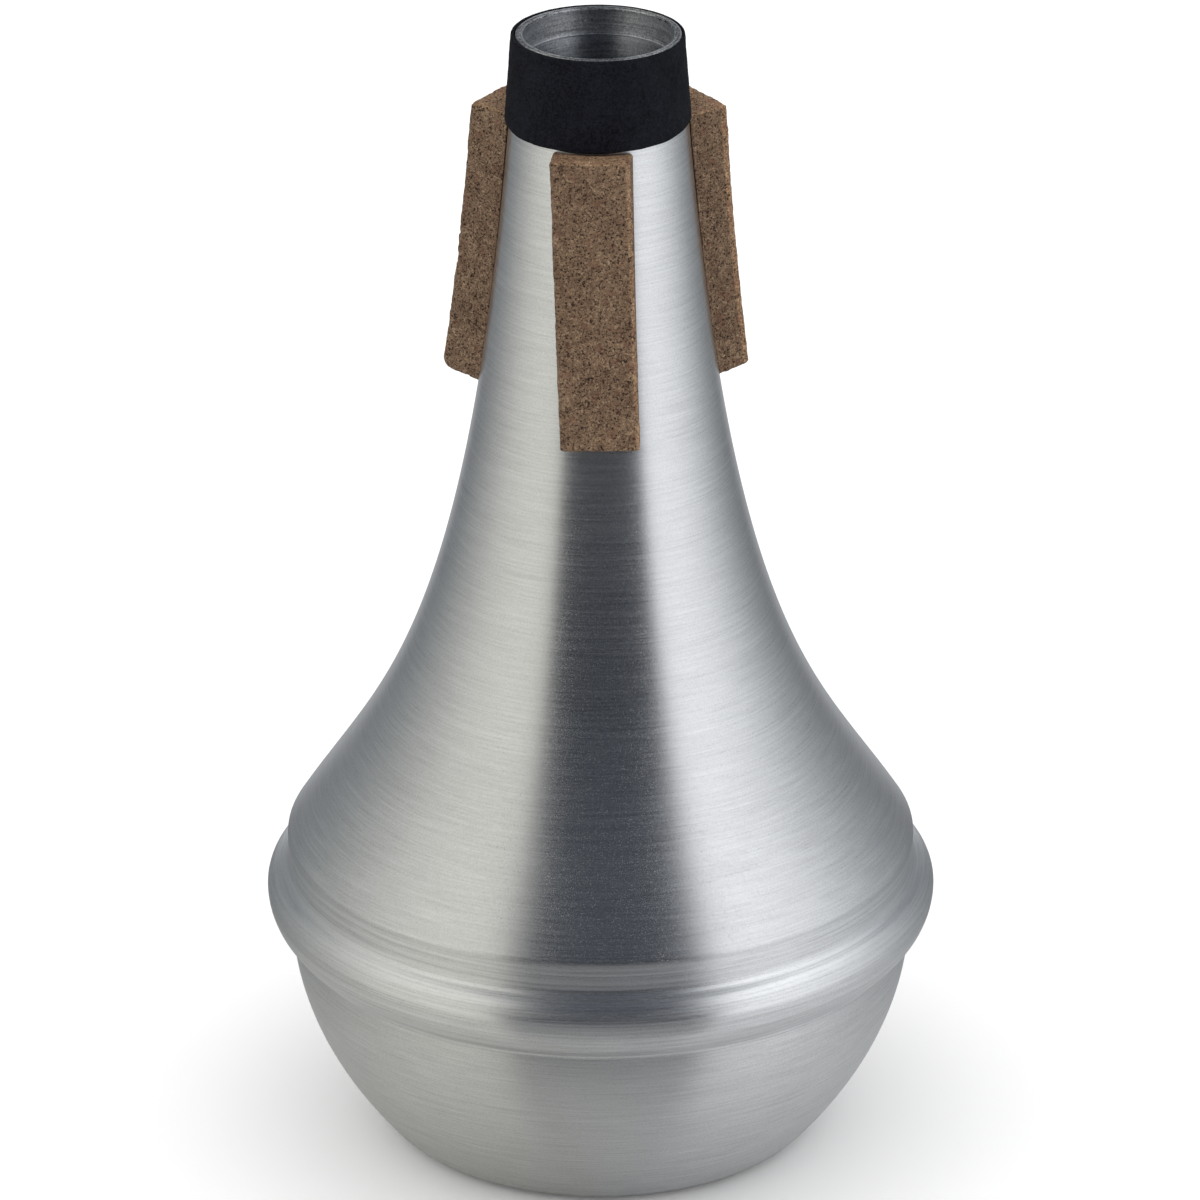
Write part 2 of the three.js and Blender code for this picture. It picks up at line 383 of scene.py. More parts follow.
# %% Turn the bowl
knuckle_top = arc(knuckle_centre, knuckle_round, -bowl_angle, -bowl_angle, 1)[0]
bowl_pull, knuckle_pull = 0.16, 0.460
side_points, side_normals = bow(
    np.array([bowl_top_radius, crease_height]), bowl_lean, bowl_pull,
    knuckle_top, -bowl_angle, knuckle_pull, 70,
)
sheet_depth = cone_wall + seam_gap
rim_top = hollow_centre[1] + rim_rise
bowl_outer = joined(
    [[band_radius - sheet_depth, rim_top]],
    bead(sheet_depth, bowl_top_radius, 8),
    side_points,
    arc(knuckle_centre, knuckle_round, -bowl_angle, -np.pi / 2, 16),
)
bowl_inner = joined(
    [[band_radius - sheet_depth - bowl_wall, rim_top]],
    bead(sheet_depth + bowl_wall, bowl_top_radius - bowl_wall, 8),
    side_points - bowl_wall * side_normals,
    arc(knuckle_centre, knuckle_round - bowl_wall, -bowl_angle, -np.pi / 2, 8),
)
floor_rings = np.linspace(foot_radius, 0.0, 7)[1:-1]
foot_under = np.column_stack([floor_rings, np.zeros_like(floor_rings)])
foot_inside = np.column_stack([floor_rings, np.full_like(floor_rings, bowl_wall)])
bowl_outline = np.vstack([
    [[0.0, bowl_wall]], foot_inside[::-1], bowl_inner[::-1], bowl_outer, foot_under, [[0.0, 0.0]],
])
bowl = turned("bowl_metal", bowl_outline)
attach(bowl, "root")
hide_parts("end_bowl")

# %% [markdown]
# ## The sleeve
#
# The black sleeve is a soft tapered band stretched over the mouth, a little more than half a
# millimetre thick. Its upper edge is flush with the metal rim. Its lower edge was cut by hand,
# so it runs slightly aslant, lowest near the front, with small waves in it. Its surface has a
# soft nap, and the corks are rough too. A Displace modifier could do that with a texture, but a
# noise worked out for the points themselves can be kept off the hidden faces.

# %% Make a lumpy noise
def lumps(points, size, seed):
    """Smooth random heights from -1 to 1, with bumps about size across.

    Every corner of a cubic lattice gets a random number from a whole-number hash of its
    place, and a point takes the mean of its eight corners, weighted by 3t^2 - 2t^3.
    """
    place = points / size + 1000.0
    cell = np.floor(place).astype(np.int64)
    t = place - cell
    t = t * t * (3 - 2 * t)
    total = 0.0
    for corner in np.ndindex(2, 2, 2):
        x, y, z = np.moveaxis(cell + np.array(corner), -1, 0)
        mixed = (x * 73856093) ^ (y * 19349663) ^ (z * 83492791) ^ (seed * 2654435761)
        mixed = (mixed ^ (mixed >> 13)) * 1274126177
        value = ((mixed ^ (mixed >> 16)) & 0xFFFF) / 32767.5 - 1.0
        total = total + value * np.prod(np.where(corner, t, 1 - t), axis=-1)
    return total

# %% [markdown]
# One grid of points does the sleeve: the outline across the band is the same all round, but its
# foot moves with the angle.

# %% Wrap the sleeve
def sleeve_grid(turn=400, steps=52):
    """Points (angle, place across the band). The foot of the band lies at a depth of
    12.75 + 0.85 * cos(a - a0) below the rim, with a0 a little left of the front. The outside
    runs down and the inside back up, and the two edges are rounded by a fifth of a millimetre.
    The band is 0.57 - 0.12 * cos a thick, stretched thinner on the right.
    """
    angle = np.arange(turn) * 2 * np.pi / turn
    cos, sin = np.cos(angle)[:, None], np.sin(angle)[:, None]
    wave = 0.05 * np.sin(7 * angle + 0.6) + 0.03 * np.sin(17 * angle + 2.0)
    depth = 12.75 + 0.85 * np.cos(angle + np.radians(101)) + wave
    spread = (1.0 - np.cos(np.linspace(0.0, np.pi, 7))) * 0.008
    down = np.concatenate([spread, np.linspace(0.016, 0.984, steps)[1:-1], 1.0 - spread[::-1]])
    level = height - depth[:, None] * down
    soft = 0.2
    to_edge = np.minimum(level - level[:, -1:], level[:, :1] - level) / soft
    round_off = soft * (1.0 - np.sqrt(1.0 - (1.0 - np.clip(to_edge, 0.0, 1.0)) ** 2))
    stretch = 0.57 - 0.12 * cos
    gap = 0.15
    outer_side = np.stack([flare_radius(level) + stretch - round_off, level], -1)
    back = level[:, ::-9]
    inner_side = np.stack([flare_radius(back) + gap, back], -1)
    across = np.concatenate([outer_side, inner_side], 1)
    grid = np.stack([across[..., 0] * cos, across[..., 0] * sin, across[..., 1]], -1)
    nap = 0.035 * lumps(grid, 0.55, 5) + 0.03 * lumps(grid, 1.6, 6)
    nap[:, len(down):] = 0.0
    return grid + np.stack([cos * nap, sin * nap, 0 * nap], -1)


sleeve_points = sleeve_grid()
sleeve_faces = grid_faces(sleeve_points.shape[0], sleeve_points.shape[1], True)[:, ::-1]
sleeve = mesh_piece("sleeve_band", sleeve_points.reshape(-1, 3), sleeve_faces.tolist())
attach(sleeve, "root")
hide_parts("neck_sleeve")

# %% [markdown]
# ## The corks
#
# Each cork is a strip of pressed cork granules, five to six millimetres thick, bent along the
# neck and sawn square at its ends. Its back is hollowed to sit on the metal. A bent box with a
# Bevel modifier would have even edges all round. Here a cross-section loop, a rectangle with its
# outer corners rounded, is carried along the flare, so that each edge has a rounding of its own.

# %% Draw the section of a strip
def section_loop(half_width, thickness, left_corner, right_corner, count):
    """Points (across, out) round the section of a strip, from the back left round the face.

    The two outer corners are quarter circles. Points are spread evenly along the loop.
    """
    w, h = half_width, thickness
    left = arc(np.array([left_corner - w, h - left_corner]), left_corner, np.pi, np.pi / 2, 8)
    right = arc(np.array([w - right_corner, h - right_corner]), right_corner, np.pi / 2, 0.0, 8)
    loop = np.vstack([[[-w, 0.0]], left, right, [[w, 0.0]], [[-w, 0.0]]])
    run = run_length(loop)
    even = np.linspace(0.0, run[-1], count, endpoint=False)
    return np.column_stack([np.interp(even, run, loop[:, 0]), np.interp(even, run, loop[:, 1])])

# %% [markdown]
# The loop is set down at many stations along the neck. It shrinks a little near the ends, which
# rounds their edges, and then nearly to a point on each end face.

# %% Carry the section along the neck
def strip_grid(
    top, bottom, turn_top, turn_bottom, width, thick_top, thick_bottom, heel, corner,
):
    """Grid of points (station, place round the section), how far out each one lies, and how
    close it is to the upper end.

    At a station the metal has radius r, height z and normal (nr, nz). A point that is across
    and out lies at radius r + out * nr in the strip's direction, at height z + out * nz, and
    across beside it. On the back the radius follows the round of the metal instead, a gap away.
    The outer edge at the lower end is rounded off by heel, and the long outer edge on the right,
    seen from outside, by corner.
    """
    points, normals = flare(4000)
    run = run_length(points)
    ends = np.interp([height - top, height - bottom], points[::-1, 1], run[::-1])
    length = ends[1] - ends[0]
    soft, gap, top_light_depth, left_corner, drawn_thickness = 0.45, 0.25, 0.35, 0.5, 5.0
    edge = soft * (1.0 - np.cos(np.linspace(0.0, np.pi / 2, 7)))
    middle = np.linspace(soft, length - soft, 190)[1:-1]
    at = ends[0] + np.concatenate([edge, middle, (length - edge)[::-1]])
    shy = np.clip(1.0 - np.minimum(at - ends[0], ends[1] - at) / soft, 0.0, 1.0)
    shrink = soft * (1.0 - np.sqrt(1.0 - shy**2))
    caps = np.linspace(0.06, 0.94, 12)
    scale = np.concatenate([caps, np.ones(len(at)), caps[::-1]])[:, None]
    station = np.arange(-len(caps), len(at) + len(caps)).clip(0, len(at) - 1)
    at, shrink = at[station][:, None], shrink[station][:, None]
    r, z = (np.interp(at, run, points[:, k]) for k in (0, 1))
    nr, nz = (np.interp(at, run, normals[:, k]) for k in (0, 1))
    share = (at - ends[0]) / length
    low = np.clip(1.0 - (ends[1] - at) / heel, 0.0, 1.0)
    thick = thick_top + (thick_bottom - thick_top) * share - heel * (1.0 - np.sqrt(1.0 - low**2))
    turn = np.radians(turn_top + (turn_bottom - turn_top) * share)
    loop = section_loop(width / 2, drawn_thickness, left_corner, corner, 200)
    across = loop[:, 0] * (1.0 - 2 * shrink / width)
    out = loop[:, 1] / drawn_thickness * (thick - shrink)
    centre = out.mean(1, keepdims=True)
    across, out = across * scale, centre + (out - centre) * scale
    hug = np.clip(1.0 - out / thick, 0.0, 1.0)
    back = np.sqrt((r + gap) ** 2 - across**2) - r
    radial = r + out * nr + hug * back
    x = radial * np.cos(turn) - across * np.sin(turn)
    y = radial * np.sin(turn) + across * np.cos(turn)
    # Nearness to the upper end, where the cork's colour gets painted light.
    upper_end = np.clip(1.0 - (at - ends[0]) / top_light_depth, 0.0, 1.0)
    return np.stack([x, y, z + out * nz], -1), out / thick, np.broadcast_to(upper_end, out.shape)

# %% [markdown]
# Granules stand out of every free face and a few have broken away, so the surface is moved in
# and out along its normal.

# %% Roughen a strip and make its mesh
def build_cork(name, seed, **measures):
    """A rough strip of cork from its measures.

    Each grid point moves along the surface normal, which is the cross product of the two grid
    directions, by three sizes of lumps, less the pits where granules broke away. Nothing moves
    on the back. The first and last rings close in a fan.
    """
    grid, out, upper_end = strip_grid(**measures)
    along = np.gradient(grid, axis=0)
    round_it = np.roll(grid, -1, axis=1) - np.roll(grid, 1, axis=1)
    normal = np.cross(along, round_it)
    normal /= np.linalg.norm(normal, axis=-1, keepdims=True) + 1e-9
    rough = 0.05 * lumps(grid, 0.42, seed) + 0.06 * lumps(grid, 0.95, seed + 1)
    rough += 0.07 * lumps(grid, 4.0, seed + 2)
    pit_size, pit_depth, pit_start = 1.15, 0.55, 0.50
    rough -= pit_depth * np.clip(lumps(grid, pit_size, seed + 3) - pit_start, 0.0, 1.0)
    free = np.clip(out * 6.0 - 0.4, 0.0, 1.0)
    grid = grid + normal * (rough * free)[..., None]
    rings, around = grid.shape[:2]
    points = np.vstack([grid.reshape(-1, 3), grid[[0, -1]].mean(1)])
    faces = grid_faces(rings, around, False).tolist()
    j = np.arange(around)
    k, last = (j + 1) % around, (rings - 1) * around
    faces += np.stack([np.full(around, rings * around), j, k], -1).tolist()
    faces += np.stack([np.full(around, rings * around + 1), last + k, last + j], -1).tolist()
    fields = {"outer": out, "sawn": upper_end}
    fields = {key: np.concatenate([v.ravel(), v[[0, -1]].mean(1)]) for key, v in fields.items()}
    return mesh_piece(name, points, faces, **fields)


cork_settings = {
    "cork_front": dict(top=13.9, bottom=56.7, turn_top=265.8, turn_bottom=270.3, heel=0.4,
                       corner=0.9, width=11.5, thick_top=4.9, thick_bottom=4.9, seed=11),
    "cork_left": dict(top=12.9, bottom=56.0, turn_top=146.6, turn_bottom=146.6, heel=1.9,
                      corner=0.5, width=12.0, thick_top=5.5, thick_bottom=6.1, seed=23),
    "cork_right": dict(top=13.3, bottom=55.0, turn_top=32.6, turn_bottom=32.6, heel=0.5,
                       corner=0.5, width=11.7, thick_top=5.5, thick_bottom=4.9, seed=37),
}
corks = {}
for node, measures in cork_settings.items():
    strip = build_cork(node + "_strip", **measures)
    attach(strip, "root")
    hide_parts(node)
    corks[node] = strip

# %% [markdown]
# ## Shader arithmetic
#
# A material is a sum of patterns, and sums read best as sums. The class below wraps one output
# of a node, and each Python operator on it adds the Math node that does the same. Colours and
# vectors go through Mix and Vector Math nodes, because a Math node would turn a colour grey.

# %% Wrap a shader socket
class Signal:
    """One output of a node in a shader tree, which the usual operators work on."""

    def __init__(self, tree, socket=None):
        self.tree = tree
        self.socket = socket

    def node(self, kind, settings=None, inputs=None, output=0):
        """Adds a node: its settings first, then the values or links of its sockets."""
        made = self.tree.nodes.new(kind)
        for name, value in (settings or {}).items():
            if name == "stops":
                ramp = made.color_ramp.elements
                ramp.remove(ramp[1])
                ramp[0].position, ramp[0].color = value[0][0], (*value[0][1], 1.0)
                for place, colour in value[1:]:
                    ramp.new(place).color = (*colour, 1.0)
            else:
                setattr(made, name, value)
        for name, value in (inputs or {}).items():
            if isinstance(value, Signal):
                self.tree.links.new(value.socket, made.inputs[name])
            else:
                made.inputs[name].default_value = value
        return Signal(self.tree, made.outputs[output] if len(made.outputs) else None)

    def math(self, operation, first, second):
        return self.node("ShaderNodeMath", {"operation": operation}, {0: first, 1: second})

    def other(self, name):
        """Another output of the same node."""
        return Signal(self.tree, self.socket.node.outputs[name])

    def __add__(self, value): return self.math("ADD", self, value)
    def __radd__(self, value): return self.math("ADD", value, self)
    def __sub__(self, value): return self.math("SUBTRACT", self, value)
    def __rsub__(self, value): return self.math("SUBTRACT", value, self)
    def __mul__(self, value): return self.math("MULTIPLY", self, value)

    def ease(self, low, high):
        """0 below low, 1 above high, and a smooth step between."""
        return self.node("ShaderNodeMapRange", {"interpolation_type": "SMOOTHSTEP"},
                         {"Value": self, "From Min": low, "From Max": high})

    def mix(self, dark, light):
        """The colour dark where this signal is 0 and the colour light where it is 1."""
        return self.node("ShaderNodeMix", {"data_type": "RGBA"}, {0: self, 6: dark, 7: light}, 2)

    def noise(self, vector, scale, detail=2.0, rough=0.5):
        """Fractal noise from 0 to 1 at a scale of so many lumps a metre."""
        return self.node("ShaderNodeTexNoise", {},
                         {"Vector": vector, "Scale": scale, "Detail": detail, "Roughness": rough})

    def stretch(self, vector, x, y, z):
        """A vector with each of its three parts multiplied."""
        return self.node("ShaderNodeVectorMath", {"operation": "MULTIPLY"},
                         {0: vector, 1: (x, y, z)})


def new_finish(name):
    """An empty material and a signal to start its patterns from."""
    material = bpy.data.materials.new(name)
    material.use_nodes = True
    material.node_tree.nodes.clear()
    return material, Signal(material.node_tree)


def wear(piece, material):
    piece.data.materials.clear()
    piece.data.materials.append(material)

# %% [markdown]
# ## Spun aluminium
#
# Emery held against the turning metal leaves fine grooves round the axis. They are far too fine
# to model, but they smear every reflection up and down, which is why a spun cone shows upright
# light and dark bands. The shader's anisotropy does that: the microscopic roughness is several
# times greater across the grooves than along them. The rotation of a quarter turn lays the
# smear down the metal. The grooves that can be seen one by one are a noise that is stretched
# round the axis: it changes slowly with x and y and fast with the length run down the metal.

# %% Mix the aluminium
def aluminium(name, tint, seed, ringed, polish, specked, stretches=()):
    """The finish of one spinning, with all lengths in millimetres of run.

    tint: the colour of the metal. seed: moves its grooves along, so that no two pieces match.
    ringed: the stretch with the turner's rings. The straight band, the hollow under it and one
    ring on the crown are hazier, and all of it as far as the widest point is a little brighter.
    polish: the plain roughness. specked: the strength of the tiny specks, which grow stronger
    along the run. They are rougher than the metal round them, and paler as a painted glint.
    stretches: further stretches of colour and roughness, each from its start on: (start,
    softness, darkest colour, lightest colour, contrast, added roughness). Inside the cone some
    are painted shade.
    """
    material, start = new_finish(name)
    place = start.node("ShaderNodeTexCoord", output="Object")
    run = start.node("ShaderNodeAttribute", {"attribute_name": "run"}, output="Fac")
    # How much darker the metal is made along the grooves, carried on the points.
    stain = start.node("ShaderNodeAttribute", {"attribute_name": "stain"}, output="Fac")
    split = start.node("ShaderNodeSeparateXYZ", {}, {0: place})

    def lines(length, thickness, detail=2.0):
        """Noise whose marks are length long round the axis and thickness wide, in metres."""
        vector = start.node("ShaderNodeCombineXYZ", {}, {
            0: split * (1.0 / length), 1: split.other("Y") * (1.0 / length),
            2: run * (1.0 / thickness) + seed,
        })
        return start.noise(vector, 1.0, detail, 0.55)

    fine = lines(0.008, 0.00026)
    long = lines(0.055, 0.00038, 1.0)
    broad = lines(0.040, 0.0016)
    scratches = lines(0.010, 0.00030, 1.0).ease(0.62, 0.80)
    grain = start.noise(place, 4000.0, 2.0, 0.65)
    # Tiny rough specks, made paler in colour as a painted glint.
    specks = start.noise(place, 5600.0, 0.0).ease(0.62, 0.78)
    specks = specks * (0.7 + run.ease(0.075, 0.120) * 0.8) * specked
    cloud = start.noise(place, 45.0, 2.0)
    mottle = start.noise(place, 1500.0, 3.0, 0.7)
    first, last = ringed

    def between(low, high, soft):
        """1 where run lies between two places after the first ring, in millimetres."""
        up = run.ease((first + low) * MM, (first + low + soft) * MM)
        return up - run.ease((first + high - soft) * MM, (first + high) * MM)

    rings = between(0.0, last - first, 0.8)
    bright = between(0.0, 10.4, 1.0)
    haze = between(0.1, 5.2, 1.2) * 0.055 + between(7.3, 8.8, 0.35) * 0.075

    shade = 0.5 + (fine - 0.5) * 1.2 + (long - 0.5) * (0.36 + rings * 1.15)
    shade = shade + (grain - 0.5) * 1.35 + (broad - 0.5) * 0.18 + (cloud - 0.5) * 0.2
    shade = shade - scratches * 0.10 - stain * 0.50 + bright * 0.32 + specks * 1.1
    dark = tuple(0.79 * c for c in tint)
    light = tuple(1.14 * c for c in tint)
    colour = shade.mix((*dark, 1.0), (*light, 1.0))
    roughness = polish + haze + stain * 0.05 + specks
    roughness = roughness + (fine - 0.5) * 0.10 + (long - 0.5) * 0.06 + (grain - 0.5) * 0.15
    for begins, soft, darkest, lightest, contrast, rougher in stretches:
        there = run.ease((begins - soft) * MM, (begins + soft) * MM)
        worn = 0.5 + (shade - 0.5) * contrast + (mottle - 0.5) * (2.4 * contrast - 2.4)
        colour = there.mix(colour, worn.mix((*darkest, 1.0), (*lightest, 1.0)))
        roughness = roughness + there * rougher
    height_map = fine * 0.5 + long * (0.2 + rings * 1.0) + broad * 0.8 + grain * 0.15
    bump = start.node("ShaderNodeBump", {}, {
        "Strength": 1.0, "Distance": 0.000005, "Height": height_map,
    })
    shader = start.node("ShaderNodeBsdfPrincipled", {}, {
        "Base Color": colour, "Metallic": 1.0, "Roughness": roughness, "Normal": bump,
        "Anisotropic": 0.75, "Anisotropic Rotation": 0.25,
    })
    start.node("ShaderNodeOutputMaterial", {}, {"Surface": shader})
    return material


# Inside the cone the colour is painted darker than the outside metal, as painted shade: the
# lining most, the bore a little, and the top of the bore under the rim more than the rest of the
# bore. The lining is also rougher.
dull_shaded_lining = (inside_start, 0.06, (0.10, 0.108, 0.118), (0.30, 0.312, 0.332), 1.35, 0.06)
bright_bore = (bore_start, 0.06, (0.33, 0.34, 0.36), (0.88, 0.90, 0.93), 1.35, 0.04)
shaded_bore_top = (rim_start - 0.55, 0.5, (0.20, 0.21, 0.23), (0.55, 0.57, 0.60), 1.25, 0.06)
worn_rim = (rim_start, 0.06, (0.05, 0.053, 0.058), (0.74, 0.75, 0.77), 1.7, 0.04)
wear(cone, aluminium(
    "cone_aluminium", tint=(0.70, 0.705, 0.71), seed=3.0, ringed=(band_start, inside_start),
    polish=0.322, specked=0.20, stretches=(dull_shaded_lining, bright_bore, shaded_bore_top, worn_rim),
))
nowhere = (-40.0, -20.0)  # lies before the start of the run, so the bowl has no rings
wear(bowl, aluminium(
    "bowl_aluminium", tint=(0.68, 0.683, 0.685), seed=61.0, ringed=nowhere,
    polish=0.385, specked=0.14,
))
print("aluminium finishes:", cone.data.materials[0].name, bowl.data.materials[0].name)

# %% [markdown]
# ## The sleeve's finish
#
# The sleeve is matt and nearly black, slightly blue, with the fine grain of thin foam rubber.

# %% Mix the sleeve's black
def sleeve_black():
    material, start = new_finish("sleeve_black")
    place = start.node("ShaderNodeTexCoord", output="Object")
    grain = start.noise(place, 4200.0, 1.0, 0.6)
    flock = start.noise(place, 1500.0, 2.0)
    patch = start.noise(place, 260.0, 3.0)
    shade = 0.5 + (grain - 0.5) * 2.2 + (flock - 0.5) * 1.0 + (patch - 0.5) * 0.8
    colour = shade.mix((0.0012, 0.0015, 0.0038, 1.0), (0.0112, 0.0120, 0.0185, 1.0))
    bump = start.node("ShaderNodeBump", {}, {
        "Strength": 1.0, "Distance": 0.00006, "Height": grain,
    })
    shader = start.node("ShaderNodeBsdfPrincipled", {}, {
        "Base Color": colour, "Roughness": 0.85 + (grain - 0.5) * 0.2, "Normal": bump,
        "Specular IOR Level": 0.12,
    })
    start.node("ShaderNodeOutputMaterial", {}, {"Surface": shader})
    return material


wear(sleeve, sleeve_black())
print("sleeve finish:", sleeve.data.materials[0].name)

# %% [markdown]
# ## Pressed cork
#
# Granules of cork about a millimetre across are pressed together with a binder. Each has its
# own tone, a few are nearly black bark, and the gaps between them are small dark pits. Cell
# noise gives every granule its own random number, and a colour ramp turns that into a tone. The
# upper ends and the outer edges on the right side are painted paler, as painted light falling on
# them.

# %% Mix the cork
def pressed_cork():
    material, start = new_finish("pressed_cork")
    place = start.node("ShaderNodeTexCoord", output="Object")
    outer_face = start.node("ShaderNodeAttribute", {"attribute_name": "outer"}, output="Fac")
    wobble = start.node("ShaderNodeTexNoise", {}, {"Vector": place, "Scale": 1500.0,
                                                   "Detail": 2.0}, "Color")
    bent = start.node("ShaderNodeVectorMath", {"operation": "MULTIPLY_ADD"},
                      {0: wobble, 1: (0.0005, 0.0005, 0.0005), 2: place})

    def granules(scale):
        cells = start.node("ShaderNodeTexVoronoi", {}, {"Vector": bent, "Scale": scale}, "Color")
        return start.node("ShaderNodeSeparateColor", {}, {0: cells})

    coarse = granules(1100.0)
    small = granules(3000.0)
    mottle = start.noise(place, 5200.0, 2.0, 0.6)
    patch = start.noise(place, 160.0, 2.0)
    bark = start.noise(place, 3000.0, 1.0).ease(0.585, 0.67)
    pits = start.noise(start.stretch(place, 1.0, -1.0, 1.0), 5000.0, 0.0).ease(0.64, 0.74)
    pale = start.noise(start.stretch(place, 1.0, 1.0, -1.0), 2600.0, 1.0).ease(0.60, 0.72)
    tone = coarse * 0.14 + small * 0.26 + mottle * 0.80 + (patch - 0.5) * 0.25 - 0.06
    tone = tone - bark * 0.38 - pits * 0.24 + pale * 0.22
    colour = start.node("ShaderNodeValToRGB", {"stops": [
        (0.12, (0.026, 0.015, 0.011)),
        (0.28, (0.080, 0.045, 0.027)),
        (0.46, (0.158, 0.096, 0.057)),
        (0.64, (0.222, 0.143, 0.087)),
        (0.86, (0.365, 0.255, 0.160)),
    ]}, {"Fac": tone})
    reddish = start.noise(place, 600.0, 2.0).ease(0.56, 0.70) * 0.38
    colour = reddish.mix(colour, (0.170, 0.072, 0.045, 1.0))
    # The outer edges on the right side and the upper ends are painted paler: painted light
    # falling on them.
    arris = outer_face.ease(0.78, 0.84) - outer_face.ease(0.975, 0.997)
    x = start.node("ShaderNodeSeparateXYZ", {}, {0: place})
    lit_right_edge = x.ease(0.003, 0.005) * arris
    sawn = start.node("ShaderNodeAttribute", {"attribute_name": "sawn"}, output="Fac")
    lighter = start.node("ShaderNodeMix", {"data_type": "RGBA", "blend_type": "MULTIPLY"},
                         {0: 1.0, 6: colour, 7: (1.65, 1.60, 1.50, 1.0)}, 2)
    colour = lit_right_edge.math("MAXIMUM", lit_right_edge, sawn.ease(0.1, 0.6) * 0.85).mix(colour, lighter)
    bump = start.node("ShaderNodeBump", {}, {
        "Strength": 1.0, "Distance": 0.00022, "Height": tone,
    })
    shader = start.node("ShaderNodeBsdfPrincipled", {}, {
        "Base Color": colour, "Roughness": 0.9 - tone * 0.15, "Normal": bump,
        "Specular IOR Level": 0.25,
    })
    start.node("ShaderNodeOutputMaterial", {}, {"Surface": shader})
    return material


cork_finish = pressed_cork()
for strip in corks.values():
    wear(strip, cork_finish)
print("cork finish:", cork_finish.name, "on", len(corks), "strips")

# %% [markdown]
# ## The light tent
#
# Bright metal shows whatever stands round it, so it is photographed inside a tent of white
# cloth. Two tall lamps shine on the tent from the left and the right, the right one a little
# stronger. Their light is strongest overhead and fades towards the back, where the white wall
# behind the table gives a little back. A length of black cloth hangs in the tent from the camera
# over the top. A spun cone turns all that into upright dark and light bands. The tent is one
# formula of the direction (x to the right, y to the back, z up) in which it is seen.

# %% Write the tent as a formula
def tent_colour(x, y, z):
    """The colour of the tent in the direction x, y, z, which are signals.

    Lamp light shows where |x| is above 0.55 - 0.29 z^2, and a little further out on the right.
    It falls off as y grows, but later high up, where it is also stronger. At the back the white
    wall adds its light, and low down in the very middle of the back its bright part shows.
    Between the lamps the cloth is black, less so high up, and it ends towards the back.
    """
    right = x.ease(-0.25, 0.25)
    faded = (0.231, 0.249, 0.264, 1.0)
    lamp = right.mix((0.876, 0.866, 0.806, 1.0), (1.163, 1.182, 1.211, 1.0))
    lamp = y.ease(-0.610, 0.958).mix(lamp, faded)
    overhead = right.mix((0.945, 0.939, 0.890, 1.0), (1.465, 1.488, 1.525, 1.0))
    overhead = y.ease(0.600, 1.170).mix(overhead, faded)
    lamp = z.ease(0.448, 0.875).mix(lamp, overhead)
    lamp = y.ease(0.837, 1.070).mix(lamp, (0.373, 0.385, 0.397, 1.0))
    cloth = z.ease(0.25, 0.75).mix((0.0250, 0.0290, 0.0395, 1.0), (0.083, 0.093, 0.114, 1.0))
    cloth = y.ease(0.35, 0.95).mix(cloth, (0.272, 0.285, 0.301, 1.0))
    past_edge = x.math("ABSOLUTE", x, 0.0) - (right * 0.069 - z * z * 0.287)
    tent = past_edge.ease(0.470, 0.631).mix(cloth, lamp)
    wall = y.ease(0.904, 1.0) - y.ease(0.904, 1.0) * z.ease(0.12, 0.32)
    return wall.mix(tent, (1.34, 1.37, 1.39, 1.0))


def upright(start, place):
    """Splits the direction from the foot of the mute to a place into x, y and z."""
    way = start.node("ShaderNodeVectorMath", {"operation": "NORMALIZE"}, {0: place})
    x = start.node("ShaderNodeSeparateXYZ", {}, {0: way})
    return x, x.other("Y"), x.other("Z")

# %% [markdown]
# The tent is a dome, four metres out, that only the metal sees. It glows with the lamps' light,
# so its material is an emission.

# %% Put up the tent
def dome(name, radius, rings=24, turn=96):
    """Half a sphere that looks inwards: radius * cos e out and radius * sin e up at rise e."""
    rise = np.linspace(0.0, np.pi / 2, rings + 1)[:-1, None]
    angle = np.arange(turn) * 2 * np.pi / turn
    points = np.stack([
        radius * np.cos(rise) * np.cos(angle), radius * np.cos(rise) * np.sin(angle),
        radius * np.sin(rise) + 0 * angle,
    ], -1).reshape(-1, 3)
    faces = grid_faces(rings, turn, False).tolist()
    j = np.arange(turn)
    last = (rings - 1) * turn
    faces += np.stack([last + j, np.full(turn, rings * turn), last + (j + 1) % turn], -1).tolist()
    return mesh_piece(name, np.vstack([points, [[0.0, 0.0, radius]]]), faces)


def seen_by_metal_only(piece):
    """Marks a piece as part of the studio that no camera and no matt surface sees."""
    piece.visible_camera = piece.visible_diffuse = piece.visible_shadow = False


def tent_finish():
    material, start = new_finish("lit_tent")
    place = start.node("ShaderNodeTexCoord", output="Object")
    glow = start.node("ShaderNodeEmission", {}, {"Color": tent_colour(*upright(start, place))})
    start.node("ShaderNodeOutputMaterial", {}, {"Surface": glow})
    return material


tent_radius = 4000.0
tent = dome("light_tent", tent_radius)
wear(tent, tent_finish())
seen_by_metal_only(tent)

# %% [markdown]
# ## Floor
#
# A wide pale floor stands in for the table. Camera, glossy and transmitted rays see it lighter
# than other rays do, so that it comes out white and the mute's soft shadow stays on it.

# %% Lay the floor
def disc(name, radius, rings=24, turn=96):
    """A flat disc: rings of points whose radius grows with the square of their number."""
    angle = np.arange(turn) * 2 * np.pi / turn
    reach = radius * (np.arange(1, rings + 1)[:, None] / rings) ** 2
    flat = np.stack([reach * np.cos(angle), reach * np.sin(angle), 0 * reach * angle], -1)
    points = np.vstack([flat.reshape(-1, 3), [[0.0, 0.0, 0.0]]])
    faces = grid_faces(rings, turn, False).tolist()
    j = np.arange(turn)
    faces += np.stack([np.full(turn, rings * turn), j, (j + 1) % turn], -1).tolist()
    return mesh_piece(name, points, faces)


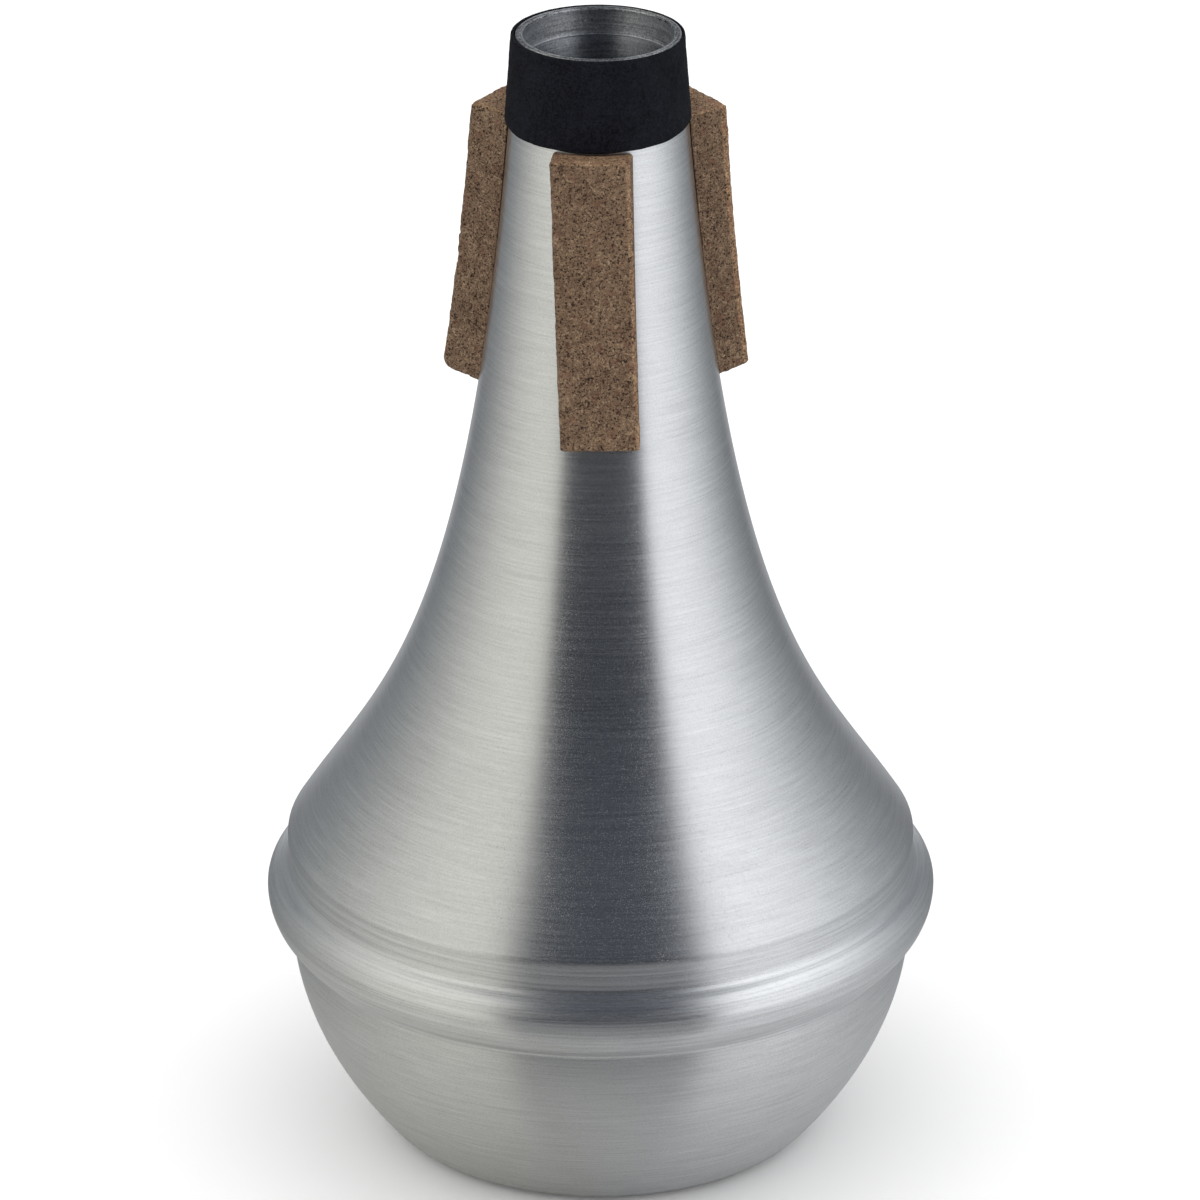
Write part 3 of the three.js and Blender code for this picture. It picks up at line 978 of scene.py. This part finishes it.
def floor_finish():
    material, start = new_finish("floor_white")
    path = start.node("ShaderNodeLightPath", output="Is Camera Ray")
    seen = path + path.other("Is Glossy Ray") + path.other("Is Transmission Ray")
    white = seen.mix((0.88, 0.88, 0.88, 1.0), (1.06, 1.06, 1.06, 1.0))
    shader = start.node("ShaderNodeBsdfDiffuse", {}, {"Color": white})
    start.node("ShaderNodeOutputMaterial", {}, {"Surface": shader})
    return material


floor_level, card_level = -0.0004, -0.0002  # metres, just clear of the foot and each other
floor = disc("floor", tent_radius)
floor.location.z = floor_level
wear(floor, floor_finish())

# %% [markdown]
# A white table would wash out the underside of the bead and the bowl, so sheets of card lie on
# it, which again only the metal sees. Near the mute they are pale grey. Further out they take
# on the colours of the tent, at first dimmer and never darker than a mid grey, and from about a
# metre on unchanged, so that the bands of light run on down to the foot. Straight behind the
# mute they are lighter, which draws a fine light line along both its sides. A bright point of
# the metal throws its view outwards from near the surface and not from the axis, so the card's
# colours fan out from a point 28 mm in front of the axis.

# %% Lay the cards
def card_finish():
    material, start = new_finish("grey_card")
    place = start.node("ShaderNodeTexCoord", output="Object")
    away = start.node("ShaderNodeVectorMath", {"operation": "LENGTH"}, {0: place}, "Value")
    ahead = start.node("ShaderNodeVectorMath", {}, {0: place, 1: (0.0, 0.028, 0.0)})
    x, y, z = upright(start, ahead)
    near = x.ease(-0.9, 0.9).mix((0.652, 0.656, 0.624, 1.0), (0.692, 0.703, 0.712, 1.0))
    far = tent_colour(x, y, z)
    dimmed = start.node("ShaderNodeMix", {"data_type": "RGBA", "blend_type": "MULTIPLY"},
                        {0: 1.0, 6: far, 7: (0.70, 0.70, 0.70, 1.0)}, 2)
    grey = start.node("ShaderNodeMix", {"data_type": "RGBA", "blend_type": "LIGHTEN"},
                      {0: 1.0, 6: dimmed, 7: (0.188, 0.194, 0.202, 1.0)}, 2)
    colour = away.ease(0.050, 1.200).mix(grey, far)
    colour = away.ease(0.028, 0.130).mix(near, colour)
    behind = y.ease(0.847, 0.958) * away.ease(0.060, 0.120)
    colour = behind.mix(colour, (0.436, 0.447, 0.457, 1.0))
    shader = start.node("ShaderNodeBsdfDiffuse", {}, {"Color": colour})
    start.node("ShaderNodeOutputMaterial", {}, {"Surface": shader})
    return material


card = disc("card", tent_radius - 10.0)
card.location.z = card_level
wear(card, card_finish())
seen_by_metal_only(card)

# %% [markdown]
# ## Room light
#
# Matt surfaces get an even light from all round, a little stronger from the sides and from
# above, at the plain level at which a colour looks as it is written. The camera, glossy surfaces
# and transmitted light see white.

# %% Light the room
def room_light():
    world = bpy.data.worlds.new("room")
    world.use_nodes = True
    world.node_tree.nodes.clear()
    world.cycles.sampling_method = "NONE"
    bpy.context.scene.world = world
    start = Signal(world.node_tree)
    way = start.node("ShaderNodeTexCoord", output="Generated")
    x = start.node("ShaderNodeSeparateXYZ", {}, {0: way})
    z = x.other("Z")
    side = x.math("ABSOLUTE", x, 0.0).ease(0.35, 0.75)
    light = side.mix((0.87, 0.87, 0.88, 1.0), (1.12, 1.12, 1.11, 1.0))
    light = z.ease(0.5, 0.95).mix(light, (1.25, 1.25, 1.25, 1.0))
    path = start.node("ShaderNodeLightPath", output="Is Camera Ray")
    seen = path + path.other("Is Glossy Ray") + path.other("Is Transmission Ray")
    shown = seen.mix(light, (1.0, 1.0, 1.0, 1.0))
    light = start.node("ShaderNodeBackground", {}, {"Color": shown, "Strength": 1.0})
    start.node("ShaderNodeOutputWorld", {}, {"Surface": light})


room_light()
bpy.context.scene.view_settings.view_transform = "Standard"
print("world:", bpy.context.scene.world.name)
